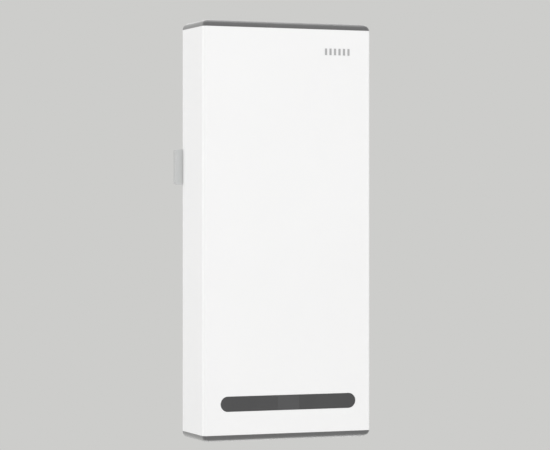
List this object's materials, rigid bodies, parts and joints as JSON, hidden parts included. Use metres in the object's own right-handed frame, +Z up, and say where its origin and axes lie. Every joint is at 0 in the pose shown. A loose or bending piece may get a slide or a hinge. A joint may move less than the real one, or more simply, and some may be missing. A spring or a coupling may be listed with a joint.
{
  "type": "wall heat-recovery ventilator",
  "caption": "Slim white wall ventilator with grey end caps, a dark display strip, a side filter tab, and a round duct collar behind.",
  "frame": {"origin": "on the wall plane, at the middle of the four wall screws, which is the middle of the unit's height and width", "axes": "+Z up, +X to the right as seen from the room, +Y into the wall"},
  "size_m": [0.2398, 0.1564, 0.533],
  "materials": {
    "white_coat": "satin powder coat",
    "grey_cap": "satin moulded",
    "smoked_window": "gloss",
    "lens": "gloss",
    "badge_grey": "satin",
    "tab_plastic": "satin moulded",
    "frame_plastic": "fine moulded",
    "deck_coat": "satin",
    "zinc_steel": "zinc plated",
    "black_plastic": "fine moulded",
    "black_coat": "satin",
    "copper": "enamelled wire",
    "rubber": "matte",
    "foam": "open-cell foam",
    "core_ceramic": "unglazed",
    "pleated_paper": "non-woven",
    "board_green": "lacquered",
    "part_yellow": "taped winding",
    "can_blue": "sleeved can",
    "part_green": "moulded",
    "shield_tin": "tin plated",
    "white_nylon": "moulded",
    "lead_black": "sleeved",
    "lead_red": "sleeved"
  },
  "bodies": {
    "chassis": {"wall_frame": "frame_plastic", "duct_collar": "frame_plastic", "collar_screws": "zinc_steel", "duct_seals": "rubber", "heat_core": "core_ceramic", "core_gasket": "rubber", "core_ring": "zinc_steel", "deck_plate": "deck_coat", "deck_screws": "zinc_steel", "hinge_brackets": "zinc_steel", "shutter_base": "frame_plastic", "shutter_clip": "zinc_steel", "motor_bracket": "frame_plastic", "shutter_motor": "zinc_steel", "motor_screws": "zinc_steel", "fan_frame": "black_plastic", "fan_stator": "black_coat", "fan_coils": "copper", "fan_bearings": "zinc_steel", "fan_mounts": "rubber", "fan_screws": "zinc_steel", "fan_grille": "black_coat", "power_board": "board_green", "transformer": "part_yellow", "capacitors": "can_blue", "terminal_block": "part_green", "control_board": "board_green", "radio_module": "shield_tin", "board_connectors": "white_nylon", "board_screws": "zinc_steel", "display_holder": "frame_plastic", "display_board": "board_green", "digit_module": "black_plastic", "magnet_holders": "black_plastic", "catch_magnets": "zinc_steel", "cable_grommet": "rubber", "fan_lead": "lead_black", "motor_lead": "lead_red", "power_lead": "lead_red", "display_ribbon": "white_nylon"},
    "filter": {"filter_frame": "frame_plastic", "filter_media": "pleated_paper", "filter_seal": "rubber", "pull_tab": "tab_plastic"},
    "shutter": {"shutter_disc": "frame_plastic"},
    "pinion": {"drive_pinion": "white_nylon"},
    "rotor": {"fan_impeller": "black_plastic", "fan_shaft": "zinc_steel", "fan_magnet": "black_coat"},
    "cover": {"sleeve": "white_coat", "top_cap": "grey_cap", "bottom_cap": "grey_cap", "display_window": "smoked_window", "window_lens": "lens", "front_badge": "badge_grey", "hinge_arms": "zinc_steel", "hinge_pins": "zinc_steel", "catch_plates": "zinc_steel", "cover_screws": "zinc_steel", "cover_liner": "foam"}
  },
  "joints": [
    {"name": "cover_swing", "type": "hinge", "parent": "chassis", "child": "cover", "pos_m": [0, -0.024, 0.25], "axis": [-1, 0, 0], "range_deg": [0, 60]},
    {"name": "filter_slide", "type": "slide", "parent": "chassis", "child": "filter", "axis": [-1, 0, 0], "range_m": [0, 0.185]},
    {"name": "shutter_turn", "type": "hinge", "parent": "chassis", "child": "shutter", "pos_m": [0, -0.0267, 0.082], "axis": [0, 1, 0], "range_deg": [0, 45]},
    {"name": "pinion_turn", "type": "hinge", "parent": "chassis", "child": "pinion", "pos_m": [0, -0.0267, 0.0115], "axis": [0, 1, 0], "range_deg": [-380, 0]},
    {"name": "fan_spin", "type": "hinge", "parent": "chassis", "child": "rotor", "pos_m": [0, -0.0445, 0.082], "axis": [0, 1, 0], "continuous": true}
  ],
  "couplings": [
    {"joint": "pinion_turn", "follows": "shutter_turn", "ratio": -8.4}
  ]
}
